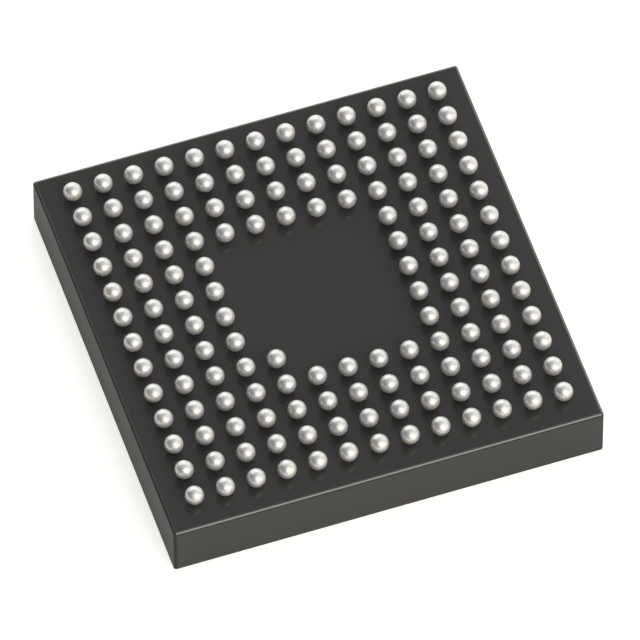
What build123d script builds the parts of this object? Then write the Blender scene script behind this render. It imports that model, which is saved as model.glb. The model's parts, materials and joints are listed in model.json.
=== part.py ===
from build123d import *
from math import hypot, sqrt
import os

# Microcontroller in a plastic ball grid array package. It lies on its marking face with its
# solder balls up. Millimetres. The origin is the centre of the marking face, +Z points out of the
# ball side, and the A1 corner is at -X, -Y: rows A to N run along +Y, columns 1 to 13 along +X.

# Ball grid
ball_pitch = 0.5
balls_per_side = 13
ring_rows = 4  # full rows round the open middle
ball_diameter = 0.3
row_letters = "abcdefghjklmn"  # I, O, Q and S are never used for rows
index_row = 4  # the one ball in the open middle is E5
index_column = 4
land_width = 0.1
land_thickness = 0.012

# Package body
edge_margin = 0.5  # from the outermost ball centres to the sides
mould_thickness = 0.72
laminate_thickness = 0.26
ball_side_radius = 0.05  # the edges round the ball side and the four upright ones
marking_side_radius = 0.03

# A1 mark, a shallow round dimple in the marking face
mark_diameter = 0.5
mark_depth = 0.03
mark_inset = 0.7  # from both sides to its centre

# Die and what carries it
die_size = 4.2
die_thickness = 0.2
attach_thickness = 0.025
paddle_thickness = 0.015
paddle_margin = 0.15

# Bond wires
wires_per_side = 16
wire_diameter = 0.025
pad_pitch = 0.22
pad_inset = 0.06  # from the die's edge to the wire's foot
loop_height = 0.12  # how far a wire stands off the die
finger_pitch = 0.28
finger_width = 0.08
finger_length = 0.25
finger_thickness = 0.015
finger_setback = 0.75  # from the die's edge to the middle of the fingers

# Worked out from the sizes above
body_size = (balls_per_side - 1) * ball_pitch + 2 * edge_margin
body_thickness = mould_thickness + laminate_thickness
land_top = body_thickness + land_thickness
die_back = mould_thickness - paddle_thickness - attach_thickness
die_face = die_back - die_thickness
finger_face = mould_thickness - finger_thickness
pad_row = die_size / 2 - pad_inset
finger_row = die_size / 2 + finger_setback


def plate(width, depth, thickness, bottom):
    """A flat rectangular plate centred on the package, its lower face at the given height."""
    return Pos(0, 0, bottom) * Box(width, depth, thickness, align=(Align.CENTER, Align.CENTER, Align.MIN))


def spaced(count, pitch):
    """Places of a centred row."""
    return [(index - (count - 1) / 2) * pitch for index in range(count)]


def has_ball(row, column):
    """The middle of the grid is open, except for the index ball."""
    far_side = balls_per_side - ring_rows
    in_middle = ring_rows <= row < far_side and ring_rows <= column < far_side
    return not in_middle or (row, column) == (index_row, index_column)


def grid_row(row):
    """Centres of one row's balls."""
    places = spaced(balls_per_side, ball_pitch)
    return [(places[column], places[row]) for column in range(balls_per_side) if has_ball(row, column)]


def package_block():
    """The outer form: one sawn block with every edge lightly rounded."""
    block = plate(body_size, body_size, body_thickness, 0)
    marking_side = block.edges().group_by(Axis.Z)[0]
    block = fillet(block.edges() - marking_side, ball_side_radius)
    return fillet(block.edges().group_by(Axis.Z)[0], marking_side_radius)


def laminate():
    """The wiring board that carries the die on one face and the balls on the other."""
    return split(package_block(), Plane.XY.offset(mould_thickness), keep=Keep.TOP)


def die_paddle():
    return plate(die_size + 2 * paddle_margin, die_size + 2 * paddle_margin, paddle_thickness,
                 mould_thickness - paddle_thickness)


def die_attach():
    return plate(die_size, die_size, attach_thickness, die_back)


def die():
    return plate(die_size, die_size, die_thickness, die_face)


def front_fingers():
    """Plated copper fingers in front of the die, one for each wire."""
    finger = plate(finger_width, finger_length, finger_thickness, finger_face)
    return [Pos(x, -finger_row, 0) * finger for x in spaced(wires_per_side, finger_pitch)]


def bond_wire(pad_x, finger_x):
    """One loop: straight off the die, a sharp bend, then a long slope to its finger."""
    drop = finger_row - pad_row
    across = finger_x - pad_x
    run = hypot(across, drop)
    bend = die_face - loop_height
    slope = (finger_face - bend) / run
    upright_thickness = wire_diameter * sqrt(1 + slope**2)
    side_view = Polyline(
        (0, die_face),
        (0, bend),
        (run, finger_face),
        (run - upright_thickness / slope, finger_face),
        (wire_diameter, bend + wire_diameter * slope + upright_thickness),
        (wire_diameter, die_face),
        close=True,
    )
    along = Plane(origin=(pad_x, -pad_row, 0), x_dir=(across, -drop, 0), z_dir=(-drop, -across, 0))
    return extrude(along * make_face(side_view), amount=wire_diameter / 2, both=True)


def front_wires():
    pads = spaced(wires_per_side, pad_pitch)
    fingers = spaced(wires_per_side, finger_pitch)
    return [bond_wire(pad_x, finger_x) for pad_x, finger_x in zip(pads, fingers)]


def turned(pieces, quarter_turns):
    """The same pieces on another side of the die."""
    return [Rot(0, 0, 90 * quarter_turns) * piece for piece in pieces]


def mould_cap(buried):
    """Moulding compound, cast round everything on the laminate's die face."""
    cap = split(package_block(), Plane.XY.offset(mould_thickness), keep=Keep.BOTTOM)
    mark_place = body_size / 2 - mark_inset
    mark = Cylinder(mark_diameter / 2, mark_depth, align=(Align.CENTER, Align.CENTER, Align.MIN))
    return cap - Pos(-mark_place, -mark_place, 0) * mark - buried


def solder_ball():
    """A ball with twenty-six flats: a cube with its edges cut back until all widths are equal."""
    cube = Box(ball_diameter, ball_diameter, ball_diameter, align=(Align.CENTER, Align.CENTER, Align.MIN))
    return chamfer(cube.edges(), ball_diameter / (2 + sqrt(2)))


def ball_row(row):
    ball = solder_ball()
    return [Pos(x, y, land_top) * ball for x, y in grid_row(row)]


def ball_lands():
    land = plate(land_width, land_width, land_thickness, body_thickness)
    return [Pos(x, y, 0) * land for row in range(balls_per_side) for x, y in grid_row(row)]


def save(name, pieces):
    shape = pieces if isinstance(pieces, Part) else Compound(children=pieces)
    export_step(shape, f"parts/{name}.step")


os.makedirs("parts", exist_ok=True)
fingers = front_fingers()
wires = front_wires()
buried = [die_paddle(), die_attach(), die()]
for turns, side in enumerate(["front", "right", "back", "left"]):
    save(f"bond_fingers_{side}", turned(fingers, turns))
    save(f"bond_wires_{side}", turned(wires, turns))
    buried += turned(fingers, turns) + turned(wires, turns)
save("mould_cap", mould_cap(buried))
save("laminate", laminate())
save("die_paddle", die_paddle())
save("die_attach", die_attach())
save("silicon_die", die())
save("ball_lands", ball_lands())
for row, letter in enumerate(row_letters):
    save(f"ball_row_{letter}", ball_row(row))
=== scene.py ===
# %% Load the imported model
import json
import math

import bmesh
import bpy
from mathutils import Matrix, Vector


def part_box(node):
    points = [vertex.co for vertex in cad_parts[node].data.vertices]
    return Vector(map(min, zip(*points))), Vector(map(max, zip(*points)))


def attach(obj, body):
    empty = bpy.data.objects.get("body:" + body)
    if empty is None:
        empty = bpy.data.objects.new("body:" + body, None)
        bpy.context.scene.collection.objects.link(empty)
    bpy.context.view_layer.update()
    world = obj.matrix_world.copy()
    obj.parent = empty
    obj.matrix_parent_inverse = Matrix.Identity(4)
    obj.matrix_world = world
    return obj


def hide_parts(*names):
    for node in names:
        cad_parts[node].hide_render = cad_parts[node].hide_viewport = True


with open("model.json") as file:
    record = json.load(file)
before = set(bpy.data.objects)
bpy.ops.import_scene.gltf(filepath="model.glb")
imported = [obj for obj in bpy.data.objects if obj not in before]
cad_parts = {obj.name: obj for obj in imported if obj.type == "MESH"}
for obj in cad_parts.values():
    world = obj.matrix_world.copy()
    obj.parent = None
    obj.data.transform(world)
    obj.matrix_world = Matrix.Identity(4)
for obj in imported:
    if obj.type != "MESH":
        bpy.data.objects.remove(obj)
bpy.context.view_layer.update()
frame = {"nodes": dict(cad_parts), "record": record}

nodes = frame["nodes"]

# %% [markdown]
# A microcontroller in a ball grid array package lies on its marking face, balls up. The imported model
# already holds the package body, the die and the wires at their real size. Blender adds the round
# solder balls and the finish of every surface. All lengths here are in metres, so MM turns the
# package's own millimetres into them.

# %% Sizes read from the frame
MM = 0.001
ROWS = [name for name in sorted(nodes) if name.startswith("ball_row_")]
first_low, first_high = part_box(ROWS[0])
second_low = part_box(ROWS[1])[0]
face_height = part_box("laminate")[1].z

ball_diameter = first_high.z - first_low.z
ball_seat = first_low.z
ball_pitch = second_low.y - first_low.y
land_thickness = ball_seat - face_height
places_per_side = len(ROWS)
print(f"{places_per_side} rows at {ball_pitch / MM:.2f} mm, balls {ball_diameter / MM:.2f} mm across")

# %% [markdown]
# The balls sit on a square grid whose middle is open, apart from one index ball. A pattern like that
# could be made by copying objects in a loop, but a Geometry Nodes tree says the rule itself: make a
# grid of points, throw away those in the middle, and put a ball on each one that is left. The same
# tree also places the copper lands, because it takes the piece to repeat as an input.

# %% Small helpers for node trees
def linked(tree, kind, inputs=None, **settings):
    """Adds a node, gives it its settings, and sets or links its inputs by name or number."""
    node = tree.nodes.new(kind)
    for name, value in settings.items():
        setattr(node, name, value)
    for key, value in (inputs or {}).items():
        if isinstance(value, bpy.types.NodeSocket):
            tree.links.new(value, node.inputs[key])
        else:
            node.inputs[key].default_value = value
    return node


def maths(tree, operation, *values):
    """The output of a Math node that works on the given numbers or sockets."""
    return linked(tree, "ShaderNodeMath", dict(enumerate(values)), operation=operation).outputs[0]


def new_group(name, kind, inputs, outputs):
    """A node group with named sockets, each given as a name and a socket type."""
    tree = bpy.data.node_groups.new(name, kind)
    for label, socket in inputs:
        tree.interface.new_socket(label, in_out="INPUT", socket_type=socket)
    for label, socket in outputs:
        tree.interface.new_socket(label, in_out="OUTPUT", socket_type=socket)
    start = tree.nodes.new("NodeGroupInput")
    end = tree.nodes.new("NodeGroupOutput")
    return tree, start, end


# %% The tree that fills the ball grid
def grid_tree():
    """One piece on every place of a square grid with an open middle and an index place in it."""
    tree, start, end = new_group(
        "ball grid",
        "GeometryNodeTree",
        [
            ("Places", "NodeSocketInt"),
            ("Pitch", "NodeSocketFloat"),
            ("Open Places", "NodeSocketInt"),
            ("Index Place", "NodeSocketVector"),
            ("Seat Height", "NodeSocketFloat"),
            ("Piece", "NodeSocketObject"),
            ("Finish", "NodeSocketMaterial"),
        ],
        [("Geometry", "NodeSocketGeometry")],
    )
    given = start.outputs

    # A flat grid with one point for each place
    places = given["Places"]
    side = maths(tree, "MULTIPLY", maths(tree, "SUBTRACT", places, 1.0), given["Pitch"])
    grid = linked(
        tree,
        "GeometryNodeMeshGrid",
        {"Size X": side, "Size Y": side, "Vertices X": places, "Vertices Y": places},
    )

    # Places in the open middle stay empty, but the index place doesn't
    where = linked(tree, "GeometryNodeInputPosition").outputs[0]
    split = linked(tree, "ShaderNodeSeparateXYZ", {0: where}).outputs
    across = maths(tree, "ABSOLUTE", split["X"])
    along = maths(tree, "ABSOLUTE", split["Y"])
    furthest = maths(tree, "MAXIMUM", across, along)
    half_pitch = maths(tree, "MULTIPLY", given["Pitch"], 0.5)
    open_half = maths(tree, "MULTIPLY", given["Open Places"], half_pitch)
    in_middle = maths(tree, "LESS_THAN", furthest, open_half)
    from_index = linked(
        tree, "ShaderNodeVectorMath", {0: where, 1: given["Index Place"]}, operation="DISTANCE"
    )
    not_index = maths(tree, "GREATER_THAN", from_index.outputs["Value"], half_pitch)
    empty = maths(tree, "MULTIPLY", in_middle, not_index)
    kept = linked(
        tree,
        "GeometryNodeDeleteGeometry",
        {"Geometry": grid.outputs["Mesh"], "Selection": empty},
        domain="POINT",
    )

    # The piece goes on every point that is left, at its seat's height
    seat = linked(tree, "ShaderNodeCombineXYZ", {"Z": given["Seat Height"]})
    lifted = linked(
        tree, "GeometryNodeSetPosition", {"Geometry": kept.outputs[0], "Offset": seat.outputs[0]}
    )
    piece = linked(tree, "GeometryNodeObjectInfo", {"Object": given["Piece"]}, transform_space="ORIGINAL")
    placed = linked(
        tree,
        "GeometryNodeInstanceOnPoints",
        {"Points": lifted.outputs[0], "Instance": piece.outputs["Geometry"]},
    )
    real = linked(tree, "GeometryNodeRealizeInstances", {0: placed.outputs[0]})
    finished = linked(
        tree, "GeometryNodeSetMaterial", {"Geometry": real.outputs[0], "Material": given["Finish"]}
    )
    tree.links.new(finished.outputs[0], end.inputs[0])
    return tree


grid_rule = grid_tree()
print("Grid tree has", len(grid_rule.nodes), "nodes")

# %% [markdown]
# On the real package each ball is a sphere of tin alloy that was melted onto a round copper land. A
# ready-made sphere would touch its land at one point only, so a profile is turned instead: a short
# neck as wide as the wetted land, then the ball's own arc up to its top. The tree above repeats it.

# %% Helpers that make objects
def in_scene(name, data):
    """A new object in the scene, made from a mesh, a lamp or a camera."""
    made = bpy.data.objects.new(name, data)
    bpy.context.scene.collection.objects.link(made)
    return made


def from_bmesh(name, shape):
    """A new object from a bmesh, which isn't needed after that."""
    mesh = bpy.data.meshes.new(name)
    shape.to_mesh(mesh)
    shape.free()
    return in_scene(name, mesh)


def turned_piece(name, profile, sides):
    """A closed turned solid. The profile runs from the bottom to the top as (radius, height)."""
    shape = bmesh.new()
    turn = [2 * math.pi * step / sides for step in range(sides)]
    rings = []
    for radius, height in profile:
        rings.append([shape.verts.new((radius * math.cos(a), radius * math.sin(a), height)) for a in turn])
    for lower, upper in zip(rings, rings[1:]):
        for step in range(sides):
            ahead = (step + 1) % sides
            shape.faces.new((lower[step], lower[ahead], upper[ahead], upper[step]))
    shape.faces.new(rings[0][::-1])
    shape.faces.new(rings[-1])
    return from_bmesh(name, shape)


# %% Turn one ball and one land
BALL_SIDES = 24
BALL_RINGS = 10
ARC_END = math.radians(86)  # up from the ball's widest ring
LAND_RADIUS = 0.05 * MM
WETTING = 0.006 * MM


def ball_profile():
    """Solder down the land's side, then the ball's arc, which ends in a tiny flat at the very top."""
    radius = ball_diameter / 2
    neck = LAND_RADIUS + WETTING
    arc_start = -math.acos(neck / radius)
    points = [(LAND_RADIUS, 0.0), (LAND_RADIUS, -land_thickness), (neck, -land_thickness)]
    for step in range(BALL_RINGS + 1):
        angle = arc_start + (ARC_END - arc_start) * step / BALL_RINGS
        points.append((radius * math.cos(angle), radius + radius * math.sin(angle)))
    return points


one_ball = turned_piece("one_ball", ball_profile(), BALL_SIDES)
# Only the arc is smooth. The flat ends and the neck keep their edges
for face in one_ball.data.polygons:
    face.use_smooth = len(face.vertices) == 4 and face.center.z > 0
one_land = turned_piece("one_land", [(LAND_RADIUS, 0.0), (LAND_RADIUS, land_thickness)], BALL_SIDES)
print("One ball has", len(one_ball.data.polygons), "faces, one land", len(one_land.data.polygons))

# %% [markdown]
# The finishes come next. Black moulding compound is epoxy packed with fine glass beads, so it has a
# grain far finer than a millimetre: a little lighter and darker, a little smoother and rougher. The
# solder has a grain too, of tin crystals. Each material could hold its own noise nodes, but one shader
# group makes that grain for all of them, and each material only sets its size and strength.

# %% A grain that all finishes share
def grain_group():
    """Noise round its middle value, which changes a colour, a roughness and a height."""
    tree, start, end = new_group(
        "fine grain",
        "ShaderNodeTree",
        [
            ("Grain Size", "NodeSocketFloat"),
            ("Colour", "NodeSocketColor"),
            ("Colour Change", "NodeSocketFloat"),
            ("Roughness", "NodeSocketFloat"),
            ("Roughness Change", "NodeSocketFloat"),
        ],
        [
            ("Colour", "NodeSocketColor"),
            ("Roughness", "NodeSocketFloat"),
            ("Height", "NodeSocketFloat"),
        ],
    )
    given = start.outputs
    place = linked(tree, "ShaderNodeTexCoord").outputs["Object"]
    scale = maths(tree, "DIVIDE", 1.0, given["Grain Size"])
    fine = linked(tree, "ShaderNodeTexNoise", {"Vector": place, "Scale": scale}).outputs[0]
    centred = maths(tree, "SUBTRACT", fine, 0.5)
    tint = maths(tree, "MULTIPLY_ADD", centred, given["Colour Change"], 1.0)
    colour = linked(
        tree, "ShaderNodeVectorMath", {0: given["Colour"], "Scale": tint}, operation="SCALE"
    )
    rough = maths(tree, "MULTIPLY_ADD", centred, given["Roughness Change"], given["Roughness"])
    tree.links.new(colour.outputs[0], end.inputs["Colour"])
    tree.links.new(rough, end.inputs["Roughness"])
    tree.links.new(fine, end.inputs["Height"])
    return tree


grain = grain_group()
print("Grain group has", len(grain.nodes), "nodes")

# %% A material with that grain
BUMP_DEPTH = 0.1  # the grain's relief, as a share of its size


def grained_material(
    name, colour, *, roughness, grain_size, colour_change, roughness_change, bump, metallic=0.0, ior=1.45
):
    """A material with the shared grain in its colour, its gloss and its surface."""
    material = bpy.data.materials.new(name)
    material.use_nodes = True
    tree = material.node_tree
    surface = tree.nodes["Principled BSDF"]
    group = linked(
        tree,
        "ShaderNodeGroup",
        {
            "Grain Size": grain_size,
            "Colour": (*colour, 1),
            "Colour Change": colour_change,
            "Roughness": roughness,
            "Roughness Change": roughness_change,
        },
        node_tree=grain,
    )
    relief = linked(
        tree,
        "ShaderNodeBump",
        {"Height": group.outputs["Height"], "Strength": bump, "Distance": BUMP_DEPTH * grain_size},
    )
    tree.links.new(group.outputs["Colour"], surface.inputs["Base Color"])
    tree.links.new(group.outputs["Roughness"], surface.inputs["Roughness"])
    tree.links.new(relief.outputs["Normal"], surface.inputs["Normal"])
    surface.inputs["Metallic"].default_value = metallic
    surface.inputs["IOR"].default_value = ior
    return material


# %% [markdown]
# The sides of the package were sawn, so they are more matt than its two faces. Its rounded edges are
# glossy, with a painted sheen in their colour where they round a face and painted shade where they
# stand upright. Each could be a material of its own, with its own faces of the mesh. But the same
# thing follows from where the surface faces: straight up or down on a face, level on a side, and in
# between on an edge. A side is 1 along X or Y, a face is 1 along Z, and on an edge no axis reaches 1.

# %% Sawn sides, and edges with painted sheen and shade
ROUNDING_STARTS = (0.9985, 0.985)  # the nearest axis' share, from still flat to fully an edge
TILT_STARTS = (0.3, 0.8)  # the share along Z, from painted shade on an upright edge to painted sheen round a face
SAWN_ROUGHNESS = 0.5
SAWN_COLOUR = (0.0428, 0.0428, 0.0412)
# Painted shade in the colour of upright edges, and a painted sheen in the colour of edges round a face
PAINTED_EDGE_SHADE = (0.012, 0.012, 0.011)
PAINTED_EDGE_SHEEN = (0.128, 0.128, 0.126)
EDGE_ROUGHNESS = 0.1
EDGE_METALLIC = 0.85


def mixed(tree, factor, first, second, **settings):
    """The output of a Mix node between two values or two colours."""
    mix = linked(tree, "ShaderNodeMix", {"Factor": factor, "A": first, "B": second}, **settings)
    return mix.outputs["Result"]


def ramp(tree, value, low, high):
    """0 where the value is at the low end, 1 where it is at the high end, and even in between."""
    inputs = {"Value": value, "From Min": low, "From Max": high}
    return linked(tree, "ShaderNodeMapRange", inputs).outputs["Result"]


def with_sides_and_edges(material):
    """Keeps the faces, mattes the sawn sides, and gives the glossy edges painted sheen and shade."""
    tree = material.node_tree
    surface = tree.nodes["Principled BSDF"]
    face_colour = surface.inputs["Base Color"].links[0].from_socket
    face_roughness = surface.inputs["Roughness"].links[0].from_socket

    # Where the surface faces
    facing = linked(tree, "ShaderNodeTexCoord").outputs["Normal"]
    share = linked(tree, "ShaderNodeVectorMath", {0: facing}, operation="ABSOLUTE").outputs[0]
    along = linked(tree, "ShaderNodeSeparateXYZ", {0: share}).outputs
    nearest = maths(tree, "MAXIMUM", maths(tree, "MAXIMUM", along["X"], along["Y"]), along["Z"])
    edge = ramp(tree, nearest, *ROUNDING_STARTS)
    tilted = ramp(tree, along["Z"], *TILT_STARTS)
    shiny = maths(tree, "MULTIPLY", edge, tilted)

    # What it looks like there
    flat_colour = mixed(tree, along["Z"], (*SAWN_COLOUR, 1), face_colour, data_type="RGBA")
    # The edge colour is painted shade on upright edges and a painted sheen on edges round a face
    painted_edge_shade_and_sheen = mixed(tree, tilted, (*PAINTED_EDGE_SHADE, 1), (*PAINTED_EDGE_SHEEN, 1), data_type="RGBA")
    colour = mixed(tree, edge, flat_colour, painted_edge_shade_and_sheen, data_type="RGBA")
    flat_roughness = mixed(tree, along["Z"], SAWN_ROUGHNESS, face_roughness)
    roughness = mixed(tree, shiny, flat_roughness, EDGE_ROUGHNESS)
    tree.links.new(colour, surface.inputs["Base Color"])
    tree.links.new(roughness, surface.inputs["Roughness"])
    tree.links.new(maths(tree, "MULTIPLY", shiny, EDGE_METALLIC), surface.inputs["Metallic"])


# %% The finishes
BLACK = (0.0372, 0.0376, 0.0361)

# Black epoxy, cast over the die
compound = grained_material(
    "moulding_compound", BLACK, roughness=0.15, ior=1.36,
    grain_size=0.03 * MM, colour_change=0.3, roughness_change=0.05, bump=0.05,
)
with_sides_and_edges(compound)
# Black solder resist on the laminate, a little smoother
resist = grained_material(
    "laminate", BLACK, roughness=0.10, ior=1.36,
    grain_size=0.03 * MM, colour_change=0.2, roughness_change=0.04, bump=0.03,
)
with_sides_and_edges(resist)
# Tin alloy with a thin dull skin, so it is only partly a metal to the shader
solder = grained_material(
    "solder", (0.72, 0.72, 0.70), roughness=0.37, metallic=0.58,
    grain_size=0.02 * MM, colour_change=0.05, roughness_change=0.05, bump=0.03,
)
# Lands, bond fingers and the paddle under the die
copper = grained_material(
    "copper", (0.80, 0.50, 0.33), roughness=0.35, metallic=1.0,
    grain_size=0.02 * MM, colour_change=0.1, roughness_change=0.08, bump=0.05,
)
# Bond wires
gold = grained_material(
    "gold_wire", (0.93, 0.70, 0.32), roughness=0.22, metallic=1.0,
    grain_size=0.02 * MM, colour_change=0.05, roughness_change=0.05, bump=0.03,
)
# The die, polished and without relief
silicon = grained_material(
    "silicon", (0.30, 0.31, 0.35), roughness=0.12, metallic=1.0,
    grain_size=0.2 * MM, colour_change=0.05, roughness_change=0.03, bump=0.0,
)
# The film that glues the die down
film = grained_material(
    "adhesive", (0.62, 0.60, 0.55), roughness=0.6,
    grain_size=0.02 * MM, colour_change=0.2, roughness_change=0.1, bump=0.1,
)

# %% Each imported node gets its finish
finishes = {
    "moulding_compound": compound,
    "laminate": resist,
    "solder": solder,
    "copper": copper,
    "gold_wire": gold,
    "silicon": silicon,
    "adhesive": film,
}
for part in frame["record"]["subparts"]:
    mesh = nodes[part["node"]].data
    mesh.materials.clear()
    mesh.materials.append(finishes[part["material_slot"]])

# %% [markdown]
# Now the tree runs twice, once with the ball and once with the land. Its result could stay on a live
# modifier, but a plain mesh is what the package's one body can carry and what an export keeps. The
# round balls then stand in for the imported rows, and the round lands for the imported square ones.

# %% Fill the grid with balls and lands
OPEN_PLACES = 5
INDEX_PLACE = (-2 * ball_pitch, -2 * ball_pitch, 0.0)  # row E, column 5


def filled_grid(name, piece, seat_height, finish):
    """Runs the grid tree on one piece and returns the result as a plain mesh."""
    host = in_scene(name + "_host", bpy.data.meshes.new(name + "_host"))
    modifier = host.modifiers.new("grid", "NODES")
    modifier.node_group = grid_rule
    values = {
        "Places": places_per_side,
        "Pitch": ball_pitch,
        "Open Places": OPEN_PLACES,
        "Index Place": INDEX_PLACE,
        "Seat Height": seat_height,
        "Piece": piece,
        "Finish": finish,
    }
    for socket in grid_rule.interface.items_tree:
        if socket.in_out == "INPUT":
            modifier[socket.identifier] = values[socket.name]
    bpy.context.view_layer.update()
    evaluated = host.evaluated_get(bpy.context.evaluated_depsgraph_get())
    mesh = bpy.data.meshes.new_from_object(evaluated)
    host.modifiers.clear()
    bpy.data.objects.remove(host)
    bpy.data.objects.remove(piece)
    mesh.name = name
    made = in_scene(name, mesh)
    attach(made, "root")
    return made


balls = filled_grid("solder_balls", one_ball, ball_seat, solder)
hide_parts(*ROWS)
lands = filled_grid("round_lands", one_land, face_height, copper)
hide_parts("ball_lands")
print("Balls:", len(balls.data.polygons), "faces, lands:", len(lands.data.polygons), "faces")

# %% [markdown]
# The floor is plain and white. More light would make it white, but the package would then be too
# bright as well. So its pale matt paint glows a little to the camera, which leaves the package's soft
# shadow on it. A ray that a glossy surface sends out meets a weaker glow, and every other ray meets
# the paint alone. It lies a hair below the package, so that the two faces don't share one plane.

# %% The floor
FLOOR_RADIUS = 1.2
FLOOR_SIDES = 64
FLOOR_SEEN = 0.58
FLOOR_MIRRORED = 0.3
FLOOR_PAINT = (0.80, 0.78, 0.71)
FLOOR_GAP = 0.002 * MM


def floor_material():
    """Matt paint with one glow for the camera and another for mirrors."""
    material = bpy.data.materials.new("white_floor")
    material.use_nodes = True
    tree = material.node_tree
    tree.nodes.remove(tree.nodes["Principled BSDF"])
    rays = linked(tree, "ShaderNodeLightPath").outputs
    mirrored = maths(tree, "MAXIMUM", rays["Is Glossy Ray"], rays["Is Transmission Ray"])
    soft_glow = maths(tree, "MULTIPLY", mirrored, FLOOR_MIRRORED)
    glow = maths(tree, "MULTIPLY_ADD", rays["Is Camera Ray"], FLOOR_SEEN, soft_glow)
    paint = linked(tree, "ShaderNodeBsdfDiffuse", {"Color": (*FLOOR_PAINT, 1)})
    light = linked(tree, "ShaderNodeEmission", {"Strength": glow})
    both = linked(tree, "ShaderNodeAddShader", {0: paint.outputs[0], 1: light.outputs[0]})
    tree.links.new(both.outputs[0], tree.nodes["Material Output"].inputs["Surface"])
    return material


floor_shape = bmesh.new()
bmesh.ops.create_circle(floor_shape, cap_ends=True, segments=FLOOR_SIDES, radius=FLOOR_RADIUS)
floor = from_bmesh("floor", floor_shape)
floor.data.materials.append(floor_material())
floor.location.z = -FLOOR_GAP
print(f"Floor: {2 * FLOOR_RADIUS:.1f} m across, {FLOOR_GAP / MM:.3f} mm below the package")

# %% [markdown]
# The balls are small mirrors, so they show where the studio's lights stand. An even white sky would
# light the package too, but each ball would look flat in it. Here a wide white panel stands low behind
# the package, with a dimmer one to its right. A round lamp hangs in front, brighter in its middle,
# above a long warm panel near the floor. The room itself is dark on the left.

# %% Helpers that place a lamp or a camera
def compass(azimuth, elevation):
    """A direction from the package: azimuth counted from +X towards +Y, both in degrees."""
    a, e = math.radians(azimuth), math.radians(elevation)
    return Vector((math.cos(a) * math.cos(e), math.sin(a) * math.cos(e), math.sin(e)))


def aimed(direction):
    """The turn that makes a lamp or a camera look at the package from that direction."""
    return (-direction).to_track_quat("-Z", "Y").to_euler()


# %% Lamps
def lamp(name, *, azimuth, elevation, distance, size, brightness, height=None, colour=(1, 1, 1)):
    """An area lamp as bright as the number says, where 1 is white. It is round if it has no height."""
    data = bpy.data.lights.new(name, "AREA")
    data.size = size
    if height is None:
        data.shape = "DISK"
        area = math.pi * size**2 / 4
    else:
        data.shape = "RECTANGLE"
        data.size_y = height
        area = size * height
    data.energy = brightness * area * math.pi
    data.color = colour
    made = in_scene(name, data)
    direction = compass(azimuth, elevation)
    made.location = direction * distance
    made.rotation_euler = aimed(direction)
    made.visible_camera = False


lamp("back_panel", azimuth=95, elevation=22, distance=1.0, size=1.1, height=1.15, brightness=1.6)
lamp("back_panel_right", azimuth=40, elevation=18, distance=1.0, size=1.0, height=1.1, brightness=0.65)
lamp(
    "front_lamp",
    azimuth=-82, elevation=36, distance=1.0, size=1.3, brightness=0.95, colour=(1.0, 0.97, 0.88),
)
lamp(
    "front_lamp_core",
    azimuth=-82, elevation=36, distance=0.95, size=0.75, brightness=1.9, colour=(1.0, 0.98, 0.93),
)
lamp(
    "front_low",
    azimuth=-48, elevation=8, distance=1.0, size=1.4, height=0.5, brightness=1.1, colour=(1.0, 0.92, 0.72),
)

# %% The room
ROOM_BRIGHTNESS = 0.78
BRIGHT_SIDE = compass(azimuth=0, elevation=37)
# The room is dark where the cosine of the angle to its bright side is below this
DARK_UP_TO = -0.2


def studio_world():
    """A room that is dark on one side and bright on the other, with no edge between them."""
    world = bpy.data.worlds.new("studio")
    world.use_nodes = True
    tree = world.node_tree
    background = tree.nodes["Background"].inputs
    direction = linked(tree, "ShaderNodeTexCoord").outputs["Generated"]
    side = linked(tree, "ShaderNodeVectorMath", {0: direction, 1: BRIGHT_SIDE}, operation="DOT_PRODUCT")
    level = linked(
        tree,
        "ShaderNodeMapRange",
        {"Value": side.outputs["Value"], "From Min": DARK_UP_TO, "To Max": ROOM_BRIGHTNESS},
    )
    tree.links.new(level.outputs[0], background["Strength"])
    background["Color"].default_value = (1, 1, 1, 1)
    return world


bpy.context.scene.world = studio_world()
print(f"The room is {ROOM_BRIGHTNESS} of white at its brightest")

# %% [markdown]
# The photograph shows the package as if from far away through a long lens, so its edges run nearly
# parallel. A short lens close by would fill the frame just as well, but it would make the front rows
# of balls larger. The camera aims at one point of the ball face, from an azimuth and an elevation.

# %% The camera
# A lens and its sensor are given in millimetres, unlike everything else here
LENS = 831.4
SENSOR_WIDTH = 36
AIM = Vector((-0.0928, -0.4249, 0.0)) * MM
CAMERA_AZIMUTH = -108.707
CAMERA_ELEVATION = 55.555
CAMERA_DISTANCE = 228.91 * MM
NEAREST_SEEN = 0.01
FURTHEST_SEEN = 10

camera_data = bpy.data.cameras.new("camera")
camera_data.lens = LENS
camera_data.sensor_width = SENSOR_WIDTH
camera_data.clip_start = NEAREST_SEEN
camera_data.clip_end = FURTHEST_SEEN
camera = in_scene("camera", camera_data)
backwards = compass(CAMERA_AZIMUTH, CAMERA_ELEVATION)
camera.location = AIM + Vector((0, 0, face_height)) + backwards * CAMERA_DISTANCE
camera.rotation_euler = aimed(backwards)
bpy.context.scene.camera = camera
bpy.context.scene.view_settings.view_transform = "Standard"
print(f"Camera {CAMERA_DISTANCE / MM:.0f} mm away with a lens of {LENS} mm")
